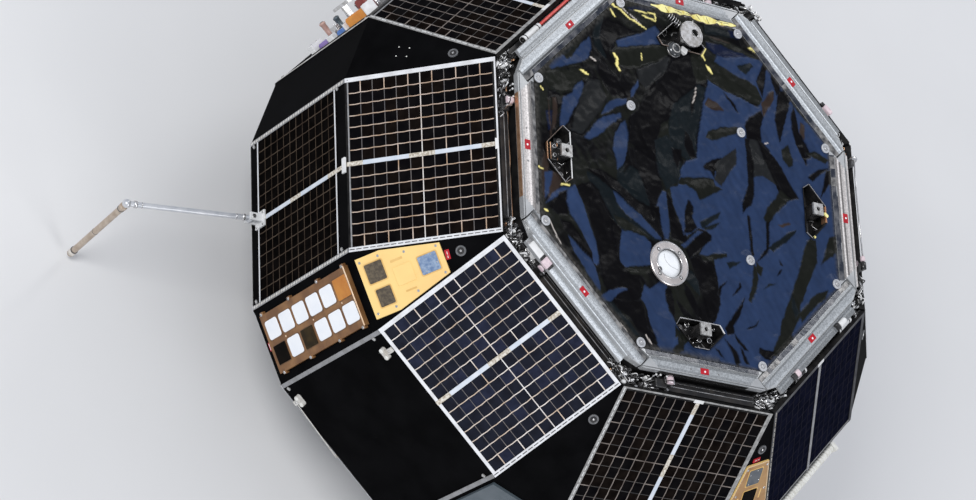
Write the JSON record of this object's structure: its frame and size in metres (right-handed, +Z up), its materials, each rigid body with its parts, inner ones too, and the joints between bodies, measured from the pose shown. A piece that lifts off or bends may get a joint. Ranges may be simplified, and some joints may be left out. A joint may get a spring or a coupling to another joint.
{
  "type": "satellite",
  "caption": "Squat eight-sided spin-stabilised satellite covered in solar cells, with bent rod antennas that fold, standing on its separation ring.",
  "frame": {"origin": "on the spin axis at the lower face of the separation ring", "axes": "+Z up along the spin axis, +X out of side 1, +Y out of side 3"},
  "size_m": [1.652, 1.652, 0.846],
  "materials": {
    "solar_cell": "glossy dark blue cells in silver lines",
    "black_panel": "satin black",
    "corner_panel": "satin black",
    "deck": "satin black",
    "end_rail": "bright machined",
    "blanket": "dark crumpled foil",
    "black_part": "matt",
    "bright_metal": "satin",
    "window": "pale",
    "button": "translucent grey",
    "gold_plate": "gold tape",
    "patch": "test coatings",
    "copper_frame": "copper brown",
    "radiator": "blue grey",
    "tray": "satin black",
    "tube": "white, ribbed",
    "red_part": "red",
    "orange_block": "orange, blue and purple",
    "ring": "machined",
    "equipment": "plain",
    "antenna_arm": "brushed",
    "antenna_whip": "brownish"
  },
  "bodies": {
    "body": {"upper_solar_panels": "solar_cell", "lower_solar_panels": "solar_cell", "side_solar_panels": "solar_cell", "side_black_panels": "black_panel", "corner_panels": "corner_panel", "strip_caps": "tube", "upper_deck": "deck", "lower_deck": "deck", "upper_end_rails": "end_rail", "lower_end_rails": "end_rail", "upper_corner_brackets": "black_part", "lower_corner_brackets": "black_part", "thermal_blanket": "blanket", "hoisting_posts": "black_part", "post_pads": "bright_metal", "lift_disc": "bright_metal", "window_ring": "bright_metal", "window_glass": "window", "blanket_buttons": "button", "channel_ducts": "black_part", "channel_connectors": "button", "channel_drums": "tube", "pull_rod": "red_part", "sample_plates": "gold_plate", "sample_patches": "patch", "coating_frame": "copper_frame", "coating_patches": "patch", "radiator_plate": "radiator", "instrument_tray": "tray", "tray_blocks": "orange_block", "tray_clips": "tube", "tray_posts": "bright_metal", "tray_bracket": "bright_metal", "detector_tube": "tube", "rod_brackets": "bright_metal", "corner_studs": "button", "separation_ring": "ring", "equipment_block": "equipment", "antenna_roots": "tube"},
    "antenna_1": {"antenna_arm_1": "antenna_arm", "antenna_whip_1": "antenna_whip"},
    "antenna_3": {"antenna_arm_3": "antenna_arm", "antenna_whip_3": "antenna_whip"},
    "antenna_5": {"antenna_arm_5": "antenna_arm", "antenna_whip_5": "antenna_whip"},
    "antenna_7": {"antenna_arm_7": "antenna_arm", "antenna_whip_7": "antenna_whip"}
  },
  "joints": [
    {"name": "antenna_1_fold", "type": "hinge", "parent": "body", "child": "antenna_1", "pos_m": [0.594, 0, 0.32052], "axis": [0, 0, 1], "range_deg": [0, 90]},
    {"name": "antenna_3_fold", "type": "hinge", "parent": "body", "child": "antenna_3", "pos_m": [0, 0.594, 0.32052], "axis": [0, 0, 1], "range_deg": [0, 90]},
    {"name": "antenna_5_fold", "type": "hinge", "parent": "body", "child": "antenna_5", "pos_m": [-0.594, 0, 0.32052], "axis": [0, 0, 1], "range_deg": [0, 90]},
    {"name": "antenna_7_fold", "type": "hinge", "parent": "body", "child": "antenna_7", "pos_m": [0, -0.594, 0.32052], "axis": [0, 0, 1], "range_deg": [0, 90]}
  ]
}
